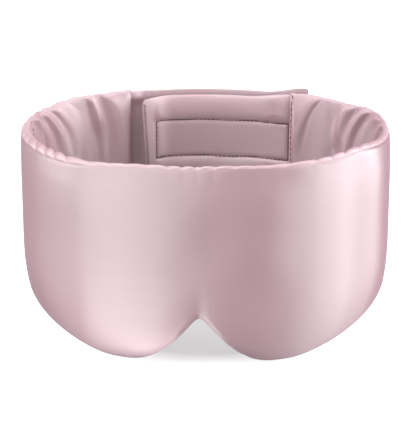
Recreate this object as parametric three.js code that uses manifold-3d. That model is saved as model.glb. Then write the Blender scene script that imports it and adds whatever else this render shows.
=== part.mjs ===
// A wide wrap-around satin sleep mask, closed into a ring as it is worn.
// Millimetres, +Z up. The padded front is at -Y, the hook-and-loop closure at +Y, and the
// wearer's face looks along -Y. The origin is the ring's centre in plan, at the level of the
// lowest points of the two cheek lobes.
//
// Every layer is a slab that follows the ring. Its length runs along the arc length s
// (0 at the front centre, + towards +X), its height along z, and its thickness along the
// offset from the ring's middle line (+ is outwards, away from the head).

import * as THREE from 'three';
import { mergeVertices } from 'three/addons/utils/BufferGeometryUtils.js';
import Module from 'manifold-3d';

const wasm = await Module();
wasm.setup();

// The ring in plan: a flat front arc, a flat back arc, and two tighter arcs round each temple.
const HALF_WIDTH = 98;
const HALF_DEPTH = 72;
const FRONT_RADIUS = 150;
const BACK_RADIUS = 130;

// Heights.
const RIM_HEIGHT = 110;
const NOSE_NOTCH_HEIGHT = 25;
const NOSE_NOTCH_REACH = 38;
const NOSE_APEX_ROUNDING = 3;
const NOSE_FLARE_POWER = 2.3;
const SIDE_RISE_START = 52;
const SIDE_RISE_SLOPE = 0.335;
const SIDE_RISE_ROUNDING = 6;
const LOBE_FLAT = 0.5;

// Layer thicknesses, and the clearance that keeps separate layers apart.
const GAP = 0.3;
const SATIN = 0.6;
const BLACKOUT = 0.5;
const PADDING_FRONT = 7;
const PADDING_TEMPLE = 3.8;
const PADDING_EDGE_SHARE = 0.4;
const PADDING_EDGE_ROUNDING = 14;
const SLEEVE_SATIN = 2.2;
const ELASTIC = 1.2;
const TAPE = 1.2;
const TAB_PADDING = 1.8;
const THREAD = 0.5;

// Lengths along the ring.
const FRONT_END = 136;
const BAND_START = 136.5;
const PAD_TAPER_START = 105;
const BAND_SHIFT = 3.3;
const BAND_SHIFT_START = 145;
const BAND_SHIFT_END = 188;
const ELASTIC_WIDTH = 40;

// The closure. Places along the back are measured from the back centre, + towards +X.
const SEAM_GAP = 0.5;
const OUTER_TAB = { root: -47, end: 55, bottom: 57.5, top: 108.5 };
const INNER_TAB = { root: 48.2, end: -43.5, bottom: 56.5, top: 107 };
const TAPE_LENGTH = 83;
const TAPE_WIDTH = 25;
const LOOP_TAPE_CENTRE = 6.6;
const HOOK_TAPE_CENTRE = 9;
const TAPE_BOTTOM = 68.5;
const STITCH_INSET = 1;
const STITCH_WIDTH = 0.8;
const OVERLOCK_WIDTH = 2;
const OVERLOCK_PITCH = 2.5;
const OVERLOCK_INSET = 1;
const TAB_FACE = 0.2;

const lerp = THREE.MathUtils.lerp;
const smoothstep = THREE.MathUtils.smoothstep;

// ---------------------------------------------------------------- the ring in plan

// The corner arc that meets a front or back arc of this radius smoothly.
function cornerRadius(radius) {
  const square = HALF_WIDTH ** 2 + HALF_DEPTH ** 2;
  return (square - 2 * radius * HALF_DEPTH) / (2 * (HALF_WIDTH - radius));
}

function ringArcs() {
  const frontCorner = cornerRadius(FRONT_RADIUS);
  const backCorner = cornerRadius(BACK_RADIUS);
  const frontTurn = Math.atan2(HALF_WIDTH - frontCorner, FRONT_RADIUS - HALF_DEPTH);
  const backTurn = Math.atan2(HALF_WIDTH - backCorner, BACK_RADIUS - HALF_DEPTH);
  const front = { radius: FRONT_RADIUS, x: 0, y: FRONT_RADIUS - HALF_DEPTH, turn: frontTurn };
  const side = { radius: frontCorner, x: HALF_WIDTH - frontCorner, y: 0, turn: Math.PI / 2 - frontTurn };
  const rear = { radius: backCorner, x: HALF_WIDTH - backCorner, y: 0, turn: Math.PI / 2 - backTurn };
  const back = { radius: BACK_RADIUS, x: 0, y: HALF_DEPTH - BACK_RADIUS, turn: backTurn };
  return [front, side, rear, back];
}

const ARCS = ringArcs();
const HALF_LENGTH = ARCS.reduce((sum, arc) => sum + arc.radius * arc.turn, 0);

// The point at arc length s and offset from the middle line. Past the back centre it stays
// on the back arc, which is how the two tabs overlap there.
function ringPoint(s, offset) {
  let left = Math.abs(s);
  let angle = 0;
  let arc = ARCS[0];
  for (arc of ARCS) {
    const length = arc.radius * arc.turn;
    if (left < length || arc === ARCS.at(-1)) break;
    left -= length;
    angle += arc.turn;
  }
  angle += left / arc.radius;
  const reach = arc.radius + offset;
  const x = arc.x + reach * Math.sin(angle);
  return [s < 0 ? -x : x, arc.y - reach * Math.cos(angle)];
}

// ---------------------------------------------------------------- heights and offsets

function bottomEdge(s) {
  const distance = Math.abs(s);
  const fromApex = Math.hypot(distance, NOSE_APEX_ROUNDING) - NOSE_APEX_ROUNDING;
  const notch = Math.max(0, 1 - fromApex / NOSE_NOTCH_REACH) ** NOSE_FLARE_POWER;
  const past = distance - SIDE_RISE_START;
  const rise = (past + Math.hypot(past, SIDE_RISE_ROUNDING)) / 2;
  return Math.max(0, NOSE_NOTCH_HEIGHT * notch + SIDE_RISE_SLOPE * rise - LOBE_FLAT);
}

const rim = () => RIM_HEIGHT;

// Half the padding's thickness: full at the front, thinner at the temples and at its edges.
function paddingHalf(s, z) {
  const taper = smoothstep(Math.abs(s), PAD_TAPER_START, FRONT_END);
  const full = lerp(PADDING_FRONT, PADDING_TEMPLE, taper);
  const toEdge = Math.min(z - bottomEdge(s), RIM_HEIGHT - z);
  const near = Math.max(0, 1 - toEdge / PADDING_EDGE_ROUNDING);
  const share = lerp(PADDING_EDGE_SHARE, 1, Math.sqrt(1 - near ** 2));
  return (full * share) / 2;
}

// How far a band has moved off the middle line, so that the two tabs can lie on each other.
const bandShift = (s) => BAND_SHIFT * smoothstep(Math.abs(s), BAND_SHIFT_START, BAND_SHIFT_END);

// ---------------------------------------------------------------- solids

// Moves a geometry's points from (along, up, out) to the ring.
function wrap(geometry) {
  geometry.deleteAttribute('normal');
  geometry.deleteAttribute('uv');
  const points = geometry.attributes.position;
  for (let i = 0; i < points.count; i++) {
    const [x, y] = ringPoint(points.getX(i), points.getZ(i));
    points.setXYZ(i, x, y, points.getY(i));
  }
  return mergeVertices(geometry);
}

// A slab from arc length `from` to `to`. bottom and top are functions of s; inner and outer
// are offsets as functions of s and z. Rows lie closer together near the two edges.
function slab({ from, to, bottom, top, inner, outer, steps, rows }) {
  const geometry = new THREE.BoxGeometry(1, 1, 1, steps, rows, 1);
  const points = geometry.attributes.position;
  for (let i = 0; i < points.count; i++) {
    const s = lerp(from, to, points.getX(i) + 0.5);
    const up = (1 - Math.cos(Math.PI * (points.getY(i) + 0.5))) / 2;
    const z = lerp(bottom(s), top(s), up);
    const out = lerp(inner(s, z), outer(s, z), points.getZ(i) + 0.5);
    points.setXYZ(i, s, z, out);
  }
  return wrap(geometry);
}

// What is left of one closed geometry after another is cut out of it.
function cutOut(geometry, hole) {
  const [body, tool] = [geometry, hole].map((piece) => {
    const vertProperties = piece.attributes.position.array;
    const triVerts = Uint32Array.from(piece.index.array);
    return new wasm.Manifold(new wasm.Mesh({ numProp: 3, vertProperties, triVerts }));
  });
  const result = body.subtract(tool).getMesh();
  const left = new THREE.BufferGeometry();
  left.setAttribute('position', new THREE.BufferAttribute(result.vertProperties, 3));
  left.setIndex(new THREE.BufferAttribute(result.triVerts, 1));
  return left;
}

// A plain strip with flat faces: constant heights and offsets.
function strip(from, to, bottom, top, inner, outer, steps = 12) {
  return slab({
    from,
    to,
    bottom: () => bottom,
    top: () => top,
    inner: () => inner,
    outer: () => outer,
    steps,
    rows: 1,
  });
}

// One row of thread round a tape, a set distance inside the tape's edges.
function boxStitch(from, to, offset) {
  const low = TAPE_BOTTOM + STITCH_INSET;
  const high = TAPE_BOTTOM + TAPE_WIDTH - STITCH_INSET;
  const start = from + STITCH_INSET;
  const end = to - STITCH_INSET;
  const w = STITCH_WIDTH;
  const outside = strip(start, end, low, high, offset, offset + THREAD);
  const hole = strip(start + w, end - w, low + w, high - w, offset - THREAD, offset + 2 * THREAD);
  return cutOut(outside, hole);
}

// A zigzag row of thread down a tab's free edge, between two heights.
function overlock(from, to, bottom, top, offset) {
  const turns = 2 * Math.floor((top - bottom) / OVERLOCK_PITCH);
  const near = [];
  const far = [];
  for (let i = 0; i <= turns; i++) {
    const s = i % 2 ? from : to;
    const z = lerp(bottom, top, i / turns);
    near.push(new THREE.Vector2(s - STITCH_WIDTH / 2, z));
    far.unshift(new THREE.Vector2(s + STITCH_WIDTH / 2, z));
  }
  const outline = new THREE.Shape([...far, ...near]);
  const geometry = new THREE.ExtrudeGeometry(outline, { depth: THREAD, bevelEnabled: false });
  geometry.translate(0, 0, offset);
  return wrap(geometry);
}

// ---------------------------------------------------------------- materials

const COLOURS = {
  satin: { color: 0xcdb0bb, roughness: 0.38 },
  lining: { color: 0xc9aab6, roughness: 0.42 },
  blackout: { color: 0x2a2628, roughness: 0.9 },
  padding: { color: 0xe9e4e2, roughness: 0.95 },
  elastic: { color: 0xd8c3ca, roughness: 0.8 },
  hook: { color: 0xbb98a5, roughness: 0.75 },
  loop: { color: 0xc4a3af, roughness: 0.95 },
  thread: { color: 0x9c7886, roughness: 0.6 },
};

const mask = new THREE.Group();

function add(name, geometry, colour) {
  const material = new THREE.MeshStandardMaterial({ metalness: 0, ...COLOURS[colour] });
  const mesh = new THREE.Mesh(geometry, material);
  mesh.name = name;
  mask.add(mesh);
}

// ---------------------------------------------------------------- padded front

function frontLayer(inner, outer) {
  const span = { from: -FRONT_END, to: FRONT_END, bottom: bottomEdge, top: rim };
  return slab({ ...span, inner, outer, steps: 44, rows: 6 });
}

function addFront() {
  const blackoutIn = GAP;
  const blackoutOut = blackoutIn + BLACKOUT;
  const satinIn = blackoutOut + GAP;
  const satinOut = satinIn + SATIN;
  const outside = (rise) => (s, z) => paddingHalf(s, z) + rise;
  const inside = (rise) => (s, z) => -paddingHalf(s, z) - rise;
  add('front_padding', frontLayer(inside(0), outside(0)), 'padding');
  add('front_blackout_layer', frontLayer(outside(blackoutIn), outside(blackoutOut)), 'blackout');
  add('front_outer_satin', frontLayer(outside(satinIn), outside(satinOut)), 'satin');
  add('front_lining', frontLayer(inside(GAP + SATIN), inside(GAP)), 'lining');
}

// ---------------------------------------------------------------- elastic side bands

// side is -1 for the left band and +1 for the right. The left band moves outwards towards
// its tab and the right band inwards. tabRoot is where its tab starts.
function addBand(name, side, tabRoot) {
  const far = HALF_LENGTH - Math.abs(tabRoot) - SEAM_GAP;
  const from = side < 0 ? -far : BAND_START;
  const to = side < 0 ? -BAND_START : far;
  const shift = (s) => -side * bandShift(s);
  const middle = (s) => (bottomEdge(s) + RIM_HEIGHT) / 2;
  const layer = (inner, outer, bottom, top) =>
    slab({
      from,
      to,
      bottom,
      top,
      inner: (s) => shift(s) + inner,
      outer: (s) => shift(s) + outer,
      steps: 16,
      rows: 4,
    });
  const core = ELASTIC / 2;
  const skin = core + GAP;
  const face = skin + SLEEVE_SATIN;
  const strapLow = (s) => middle(s) - ELASTIC_WIDTH / 2;
  const strapHigh = (s) => middle(s) + ELASTIC_WIDTH / 2;
  add(`${name}_band_outer_satin`, layer(skin, face, bottomEdge, rim), 'satin');
  add(`${name}_band_elastic`, layer(-core, core, strapLow, strapHigh), 'elastic');
  add(`${name}_band_inner_satin`, layer(-face, -skin, bottomEdge, rim), 'lining');

  // The row of thread beside the temple, on the inner face.
  const seam = BAND_START + 2;
  const temple = slab({
    from: side * seam - STITCH_WIDTH / 2,
    to: side * seam + STITCH_WIDTH / 2,
    bottom: (s) => bottomEdge(s) + 2,
    top: () => RIM_HEIGHT - 2,
    inner: (s) => shift(s) - face - GAP - THREAD,
    outer: (s) => shift(s) - face - GAP,
    steps: 1,
    rows: 4,
  });
  add(`${name}_temple_seam_stitching`, temple, 'thread');
}

// ---------------------------------------------------------------- end tabs

// A tab's layers are stacked from the closure face at offset 0: tape, satin, padding, satin.
// lay is +1 for the outer tab and -1 for the inner one, and along turns a place measured
// from the back centre into arc length.
function addTab(name, tab, lay, tape) {
  const along = (place) => (lay > 0 ? -HALF_LENGTH - place : HALF_LENGTH - place);
  const ends = [along(tab.root), along(tab.end)].sort((a, b) => a - b);
  const panel = (near, thickness) => {
    const faces = [lay * near, lay * (near + thickness)].sort((a, b) => a - b);
    return strip(...ends, tab.bottom, tab.top, ...faces);
  };
  const closing = TAB_FACE + TAPE + GAP;
  const core = closing + SATIN + GAP;
  const showing = core + TAB_PADDING + GAP;
  const threadNear = showing + SATIN + GAP;
  add(`${name}_tab_${lay > 0 ? 'inner' : 'outer'}_satin`, panel(closing, SATIN), 'lining');
  add(`${name}_tab_padding`, panel(core, TAB_PADDING), 'padding');
  add(`${name}_tab_${lay > 0 ? 'outer' : 'inner'}_satin`, panel(showing, SATIN), 'satin');

  // The tape faces the other tab, and its box stitch shows on the tab's far face.
  const centre = along(tape.centre);
  const tapeEnds = [centre - TAPE_LENGTH / 2, centre + TAPE_LENGTH / 2];
  const tapeFaces = [lay * TAB_FACE, lay * (TAB_FACE + TAPE)].sort((a, b) => a - b);
  const threadLow = lay > 0 ? threadNear : -threadNear - THREAD;
  add(tape.name, strip(...tapeEnds, TAPE_BOTTOM, TAPE_BOTTOM + TAPE_WIDTH, ...tapeFaces), tape.colour);
  add(`${tape.name}_stitching`, boxStitch(...tapeEnds, threadLow), 'thread');

  // The zigzag down the free edge, and the row of thread over the seam to the band.
  const free = along(tab.end);
  const inwards = Math.sign(along(tab.root) - free);
  const zigzag = [free + inwards * OVERLOCK_INSET, free + inwards * (OVERLOCK_INSET + OVERLOCK_WIDTH)];
  zigzag.sort((a, b) => a - b);
  const edge = overlock(...zigzag, tab.bottom + 1, tab.top - 1, threadLow);
  add(`${name}_tab_edge_overlock`, edge, 'thread');

  const onBand = along(tab.root) + inwards * (SEAM_GAP + 1);
  const bandFace = BAND_SHIFT + ELASTIC / 2 + GAP + SLEEVE_SATIN + GAP;
  const rowFaces = [lay * bandFace, lay * (bandFace + THREAD)].sort((a, b) => a - b);
  const rowEnds = [onBand - STITCH_WIDTH / 2, onBand + STITCH_WIDTH / 2];
  const row = strip(...rowEnds, tab.bottom + 2, tab.top, ...rowFaces, 1);
  add(`${name}_tab_seam_stitching`, row, 'thread');
}

addFront();
addBand('left', -1, OUTER_TAB.root);
addBand('right', 1, INNER_TAB.root);
addTab('left', OUTER_TAB, 1, { name: 'hook_tape', centre: HOOK_TAPE_CENTRE, colour: 'hook' });
addTab('right', INNER_TAB, -1, { name: 'loop_tape', centre: LOOP_TAPE_CENTRE, colour: 'loop' });

export default mask;
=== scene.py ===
"""Looks of a wide wrap-around satin sleep mask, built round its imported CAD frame.

Everything is in metres in the CAD's frame: +Z up, padded front at -Y, closure at +Y. The mask is one
long padded tube bent into a ring. A point on it has an arc length s (0 at the front centre, + towards
+X), a height z, and an offset from the ring's middle line (+ is outwards).
"""

import math

import bpy
import numpy as np
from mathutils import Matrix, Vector


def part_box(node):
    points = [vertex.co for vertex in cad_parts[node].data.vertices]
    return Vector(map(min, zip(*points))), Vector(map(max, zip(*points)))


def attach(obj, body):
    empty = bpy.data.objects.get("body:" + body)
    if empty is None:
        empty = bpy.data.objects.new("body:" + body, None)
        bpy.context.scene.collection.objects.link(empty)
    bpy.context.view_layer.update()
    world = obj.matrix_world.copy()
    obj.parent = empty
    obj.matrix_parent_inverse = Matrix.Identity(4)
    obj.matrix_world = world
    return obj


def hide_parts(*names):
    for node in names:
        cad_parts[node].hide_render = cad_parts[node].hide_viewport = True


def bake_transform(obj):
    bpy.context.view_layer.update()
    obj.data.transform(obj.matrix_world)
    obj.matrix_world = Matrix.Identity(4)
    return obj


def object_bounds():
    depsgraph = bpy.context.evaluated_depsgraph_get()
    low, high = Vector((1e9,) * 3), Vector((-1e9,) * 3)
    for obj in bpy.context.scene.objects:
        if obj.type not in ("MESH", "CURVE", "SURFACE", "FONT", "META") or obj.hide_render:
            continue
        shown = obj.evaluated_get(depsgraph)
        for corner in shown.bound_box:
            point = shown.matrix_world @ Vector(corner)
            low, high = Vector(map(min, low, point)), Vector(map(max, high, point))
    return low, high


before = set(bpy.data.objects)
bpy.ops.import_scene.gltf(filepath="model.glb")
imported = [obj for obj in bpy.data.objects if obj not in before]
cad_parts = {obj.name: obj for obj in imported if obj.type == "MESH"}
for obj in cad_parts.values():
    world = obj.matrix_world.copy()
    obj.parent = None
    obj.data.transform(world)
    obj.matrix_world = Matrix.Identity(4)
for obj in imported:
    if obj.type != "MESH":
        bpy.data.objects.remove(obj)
cad_low, cad_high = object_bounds()

MM = 0.001

# The ring in plan, as the CAD has it: two flat arcs and, round each temple, two tighter ones.
HALF_WIDTH = 98 * MM
HALF_DEPTH = 72 * MM
FRONT_RADIUS = 150 * MM
BACK_RADIUS = 130 * MM

# Places along the ring.
TEMPLE = 136.25 * MM
LEFT_BAND_END = 224.2 * MM
RIGHT_BAND_END = 222.6 * MM
BAND_SPLIT = 176 * MM
BAND_SHIFT = 3.3 * MM
BAND_SHIFT_START = 145 * MM
BAND_SHIFT_END = 188 * MM

# Each band's direction along the ring, and where it ends.
BANDS = {"left": (-1, LEFT_BAND_END), "right": (1, RIGHT_BAND_END)}

# Heights.
RIM_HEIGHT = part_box("front_padding")[1].z
NOSE_NOTCH_HEIGHT = 25 * MM
NOSE_NOTCH_REACH = 38 * MM
NOSE_APEX_ROUNDING = 3 * MM
NOSE_FLARE_POWER = 2.3
SIDE_RISE_START = 52 * MM
SIDE_RISE_SLOPE = 0.335
SIDE_RISE_ROUNDING = 6 * MM

CLOTH = 0.45 * MM


def corner_radius(radius):
    square = HALF_WIDTH**2 + HALF_DEPTH**2
    return (square - 2 * radius * HALF_DEPTH) / (2 * (HALF_WIDTH - radius))


FRONT_CORNER = corner_radius(FRONT_RADIUS)
BACK_CORNER = corner_radius(BACK_RADIUS)
FRONT_TURN = math.atan2(HALF_WIDTH - FRONT_CORNER, FRONT_RADIUS - HALF_DEPTH)
BACK_TURN = math.atan2(HALF_WIDTH - BACK_CORNER, BACK_RADIUS - HALF_DEPTH)
ARCS = [
    (FRONT_RADIUS, 0, FRONT_RADIUS - HALF_DEPTH, FRONT_TURN),
    (FRONT_CORNER, HALF_WIDTH - FRONT_CORNER, 0, math.pi / 2 - FRONT_TURN),
    (BACK_CORNER, HALF_WIDTH - BACK_CORNER, 0, math.pi / 2 - BACK_TURN),
    (BACK_RADIUS, 0, HALF_DEPTH - BACK_RADIUS, 2 * BACK_TURN),
]
HALF_LENGTH = sum(radius * turn for radius, _, _, turn in ARCS) - BACK_RADIUS * BACK_TURN


def ring(s, offset, z):
    """Points of the ring at arc length s, offset and height z, which are arrays of one shape."""
    s, offset, z = np.broadcast_arrays(s, offset, z)
    along = np.abs(s)
    x, y = np.zeros(s.shape), np.zeros(s.shape)
    start, angle = 0.0, 0.0
    for radius, cx, cy, turn in ARCS:
        here = along >= start
        bend = angle + (along - start) / radius
        x = np.where(here, cx + (radius + offset) * np.sin(bend), x)
        y = np.where(here, cy - (radius + offset) * np.cos(bend), y)
        start, angle = start + radius * turn, angle + turn
    return np.stack([np.where(s < 0, -x, x), y, z], axis=-1)


def smooth(x):
    x = np.clip(x, 0, 1)
    return x * x * (3 - 2 * x)


def ramp(x, low, high):
    return smooth((x - low) / (high - low))


def bump(x, centre, half_width):
    return np.exp(-(((x - centre) / half_width) ** 2))


def unit(vectors):
    """The vectors along the last axis, each made one long."""
    return vectors / np.linalg.norm(vectors, axis=-1, keepdims=True)


def bottom_edge(s):
    along = np.abs(s)
    from_apex = np.hypot(along, NOSE_APEX_ROUNDING) - NOSE_APEX_ROUNDING
    notch = np.clip(1 - from_apex / NOSE_NOTCH_REACH, 0, 1) ** NOSE_FLARE_POWER
    past = along - SIDE_RISE_START
    rise = (past + np.hypot(past, SIDE_RISE_ROUNDING)) / 2
    return NOSE_NOTCH_HEIGHT * notch + SIDE_RISE_SLOPE * rise


# Where the soft rim stands higher or sags, in mm: arc length, height and half its width.
RIM_SWELLS = [(-175, -1.2, 26), (-64, -2.0, 20), (88, 2.4, 22), (163, 2.2, 15), (206, 1.4, 22)]


def rim(s):
    """Height of the rim of soft cloth."""
    swells = sum(up * bump(s, place * MM, half_width * MM) for place, up, half_width in RIM_SWELLS)
    waves = 0.35 * np.sin(s / (9 * MM)) * np.sin(s / (23 * MM) + 1)
    return RIM_HEIGHT + (waves + swells) * MM


# ---- the satin skin before it is gathered ----

HEM_RADIUS = 1.7 * MM
OUTER_ROWS = 64
LINING_ROWS = 80
SEAM_ROW = OUTER_ROWS - 1
COLUMN = 1.35 * MM

# A band's end: how flat it is pinched, and how far from the seam the pinch and the drop to it reach.
# The left band's end reaches a little further along the ring low down than at the rim.
PINCHED = 0.3
PINCH_REACH = 9 * MM
LEFT_BAND_REACH = 0.8 * MM
END_DROP = 3.5 * MM
END_SWELL_REACH = 7 * MM
ELASTIC_ROOM = 1.3 * MM
FOLD_BEND = 15 * MM

# The main folds of each band's inner face, in mm: the arc length where it meets the rim, how steeply it
# leans from there, how high it stands (below 0 it is a crease), half its width, and how far down it runs.
LEFT_FOLDS = [
    (141, 1.7, -0.3, 2.0, 60),
    (147, 1.75, 0.9, 3.0, 80),
    (153.5, 1.75, -0.5, 2.0, 60),
    (159.5, 1.77, 1.2, 3.4, 90),
    (166, 1.55, -0.5, 2.2, 40),
    (172, 1.3, 0.8, 3.6, 90),
    (180, 1.0, 0.5, 4.6, 45),
    (188, 0.75, -0.9, 3.6, 80),
    (194.5, 0.6, -1.6, 2.2, 90),
    (198.6, 0.5, 2.2, 2.4, 28),
    (203.5, 0.6, -1.4, 2.6, 70),
    (210, 0.65, 1.4, 5.2, 60),
]
RIGHT_FOLDS = [
    (138, 1.35, -0.4, 1.6, 40),
    (142, 1.4, 0.7, 2.2, 60),
    (147, 1.4, -0.6, 2.0, 60),
    (152.5, 1.5, 0.9, 2.8, 80),
    (158, 1.5, -1.0, 2.2, 90),
    (163.5, 1.5, 1.8, 3.4, 90),
    (172, 1.05, -0.9, 3.2, 60),
    (180, 0.9, 1.8, 5.0, 36),
    (191.5, 0.1, -1.8, 4.0, 90),
    (201, 1.0, -0.5, 1.0, 44),
    (205.5, 1.0, 1.1, 5.0, 42),
]


def main_folds(s, z):
    """How far the main folds stand off the smooth inner face."""
    along, down = np.abs(s), rim(s) - z
    bend = FOLD_BEND * (1 - np.exp(-down / FOLD_BEND))
    fade = ramp(down, -1.5 * MM, 3.5 * MM) * ramp(z - bottom_edge(s), 0, 10 * MM)
    total = np.zeros(np.broadcast(s, z).shape)
    for side, folds in ((-1, LEFT_FOLDS), (1, RIGHT_FOLDS)):
        for place, lean, height, half_width, length in folds:
            line = place * MM + lean * bend
            across = bump(along, line, (half_width + 0.03 * down / MM) * MM)
            runs_out = 1 - ramp(down, 0.45 * length * MM, length * MM)
            total += (np.sign(s) == side) * height * MM * across * runs_out
    return total * fade


# Soft bulges of the outer face, in mm: arc length, height, how far it stands out, and half its width.
BULGES = [
    (-3, 16, 3.0, 27),
    (-66, 92, 1.5, 25),
    (31, 62, 1.1, 16),
    (33, 90, 0.8, 15),
    (-6, 78, 0.7, 13),
]


def bulges(s, z):
    total = 0
    for place, height, out, half_width in BULGES:
        total = total + out * MM * bump(np.hypot(s - place * MM, z - height * MM), 0, half_width * MM)
    return total * ramp(z - bottom_edge(s), 0, 6 * MM) * ramp(rim(s) - z, 2 * MM, 14 * MM)


# Half thickness of the rolled rim: over the nose, what each cheek adds to that, and in the bands.
NOSE_ROLL = 1.3 * MM
LEFT_CHEEK_ROLL = 1.9 * MM
RIGHT_CHEEK_ROLL = 0.7 * MM
BAND_ROLL = 1.2 * MM


def rim_radius(s):
    along = np.abs(s)
    cheek = np.where(s < 0, LEFT_CHEEK_ROLL, RIGHT_CHEEK_ROLL) * ramp(along, 40 * MM, 85 * MM)
    band = ramp(along, 128 * MM, 150 * MM)
    return (NOSE_ROLL + cheek) * (1 - band) + BAND_ROLL * band


def edge_profile(distance, radius, full, reach):
    """Half thickness at a distance from an edge: a round lip, then a slow swell to the full pad."""
    radius = min(radius, full)
    lip = radius * np.sqrt(1 - np.clip(1 - distance / radius, 0, 1) ** 2)
    swell = 1 - np.clip(1 - distance / reach, 0, 1) ** 2.4
    return lip + (full - radius) * swell


PIPING = 1.6 * MM


def hem(s):
    """How far up the outer face the bottom seam lies. To the right of the nose notch's apex it is higher,
    so that the lining, whose satin is painted lighter, shows there as a pale piping."""
    return (0.1 * MM + PIPING * ramp(s, -4 * MM, 3 * MM)) * (1 - ramp(np.abs(s), 18 * MM, 30 * MM))


def spaced(start, end, count, crowd):
    """count stops from start to end, closer together at both ends."""
    t = np.linspace(0, 1, count)
    return start + (end - start) * ((1 - crowd) * t + crowd * (1 - np.cos(math.pi * t)) / 2)


def section(s, full_out, full_in):
    """One cross-section at s: offsets and heights, from the bottom seam up the outer face to the top
    seam, then over the rim and down the lining to the bottom seam."""
    low, high = float(bottom_edge(s)), float(rim(s))
    z = spaced(low, high, 400, 1)
    roll = float(rim_radius(s))
    reach = 0.33 * (high - low)
    def face(full):
        under = edge_profile(z - low, HEM_RADIUS, full, reach)
        over = edge_profile(high - z, roll, full, reach)
        return np.minimum(under, over)
    offset = np.concatenate([face(full_out), -face(full_in)[::-1][1:]])
    height = np.concatenate([z, z[::-1][1:]])
    length = np.concatenate([[0], np.cumsum(np.hypot(np.diff(offset), np.diff(height)))])
    start = float(hem(s))
    top_seam = np.interp(high - roll, z, length[: len(z)])
    outer = spaced(start, top_seam, OUTER_ROWS, 0.6)
    lining = top_seam + (length[-1] + start - top_seam) * spaced(0, 1, LINING_ROWS, 0.6) ** 1.15
    stops = np.concatenate([outer, lining[1:]]) % length[-1]
    return np.interp(stops, length, offset), np.interp(stops, length, height)


def columns():
    """Arc lengths of the columns: the left band, the front and the right band, with a column exactly
    at each temple."""
    stops = (-LEFT_BAND_END, -TEMPLE, TEMPLE, RIGHT_BAND_END)
    spans = [np.linspace(a, b, round((b - a) / COLUMN) + 1)[1:] for a, b in zip(stops, stops[1:])]
    return np.concatenate([stops[:1], *spans])


def band_shift(s):
    """Towards its tab the left band moves outwards and the right one inwards."""
    return -np.sign(s) * BAND_SHIFT * ramp(np.abs(s), BAND_SHIFT_START, BAND_SHIFT_END)


# How far the stuffing stands out and in from the ring's middle line, and what it adds on the inside
# where a band ends.
FRONT_OUT, FRONT_IN = 5.4 * MM, 4.2 * MM
BAND_OUT, BAND_IN = 2.7 * MM, 2.6 * MM
LEFT_END_SWELL, RIGHT_END_SWELL = 1.8 * MM, 1.2 * MM


def pinch(to_seam, reach):
    return PINCHED + (1 - PINCHED) * math.sqrt(float(ramp(to_seam, 0, reach)))


def base_skin():
    """The stuffed tube before the cloth is gathered."""
    s = columns()
    offset, height = [], []
    for value in s:
        end, end_swell = (LEFT_BAND_END, LEFT_END_SWELL) if value < 0 else (RIGHT_BAND_END, RIGHT_END_SWELL)
        band = float(ramp(abs(value), 100 * MM, 140 * MM))
        to_seam = end - abs(value)
        swell = end_swell * float(bump(to_seam, END_DROP, END_SWELL_REACH))
        full_out = (FRONT_OUT * (1 - band) + BAND_OUT * band) * pinch(to_seam, PINCH_REACH)
        full_in = (FRONT_IN * (1 - band) + BAND_IN * band + swell) * pinch(to_seam, END_DROP)
        o, z = section(value, full_out, full_in)
        offset.append(o)
        height.append(z)
    offset, height = np.array(offset), np.array(height)
    place = s[:, None]
    reaching = LEFT_BAND_REACH * ramp(-place, LEFT_BAND_END - 24 * MM, LEFT_BAND_END)
    where = place - reaching * np.clip((RIM_HEIGHT - height) / (45 * MM), 0, 1)
    folded = offset - main_folds(where, height)
    inside = (np.arange(offset.shape[1]) >= SEAM_ROW) & (offset < -ELASTIC_ROOM)
    offset = np.where(inside, np.minimum(folded, -ELASTIC_ROOM), offset)
    offset[:, :SEAM_ROW] += bulges(where, height)[:, :SEAM_ROW]
    return s, height, ring(where, offset + band_shift(where), height)


def grid_normals(points):
    du = np.gradient(points, axis=0)
    dv = np.gradient(points, axis=1)
    normal = np.cross(du, dv)
    return normal / np.maximum(np.linalg.norm(normal, axis=-1, keepdims=True), 1e-12)


# ---- gathering the cloth ----

GATHER_STEPS = 220
SEED = 7
FOLD_LEAN = 0.6
PUCKER_PITCH = 9.5 * MM

# How much longer the cloth is cut than the space along the ring: the lining and what it has more of in
# the bands, the bands' outer cloth, and the lip over the rim.
LINING_SPARE, BAND_LINING_SPARE = 0.02, 0.008
BAND_FACE_SPARE = 0.07
LIP_SPARE = 0.03

# The petals along the rim, in mm: how high they stand, how deep the cloth is tucked behind them, and
# how high their ridges run out onto the face.
PETAL_HEIGHT = 2.3
PETAL_TUCK = 1.2
PETAL_RIDGE = 0.4


def pull(points, first, second, rest, stiffness):
    """Moves two groups of points towards their rest distance, in place."""
    a, b = points[first], points[second]
    gap = b - a
    length = np.maximum(np.linalg.norm(gap, axis=-1, keepdims=True), 1e-9)
    shift = 0.5 * stiffness * (1 - rest[..., None] / length) * gap
    points[first] = a + shift
    points[second] = b - shift


# What holds the cut cloth together: links to a point so many columns and rows away, and how stiffly.
CLOTH_LINKS = [(1, 0, 1.0), (0, 1, 1.0), (1, 1, 0.4), (4, 0, 0.15)]


def links(base, gather):
    """The cut cloth's links: along the ring they are longer than the space, by the gather. They come
    in phases, and no two links of a phase share a point."""
    count_i, count_j = base.shape[:2]
    found = []
    for di, dj, stiffness in CLOTH_LINKS:
        for phase in range(2 * max(di, 1)):
            i, j = np.arange(count_i - di), np.arange(count_j - dj)
            if di:
                i = i[(i // di % 2 == phase % 2) & (i % di == phase // 2)]
            else:
                j = j[j % 2 == phase]
            first, second = np.ix_(i, j), np.ix_(i + di, j + dj)
            gap = base[second] - base[first]
            along = np.linalg.norm(base[np.ix_(i + di, j)] - base[first], axis=-1)
            across = np.sqrt(np.maximum((gap**2).sum(-1) - along**2, 0))
            more = (gather[first] + gather[second]) / 2
            found.append((first, second, np.hypot(along * more, across), stiffness))
    return found


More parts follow.
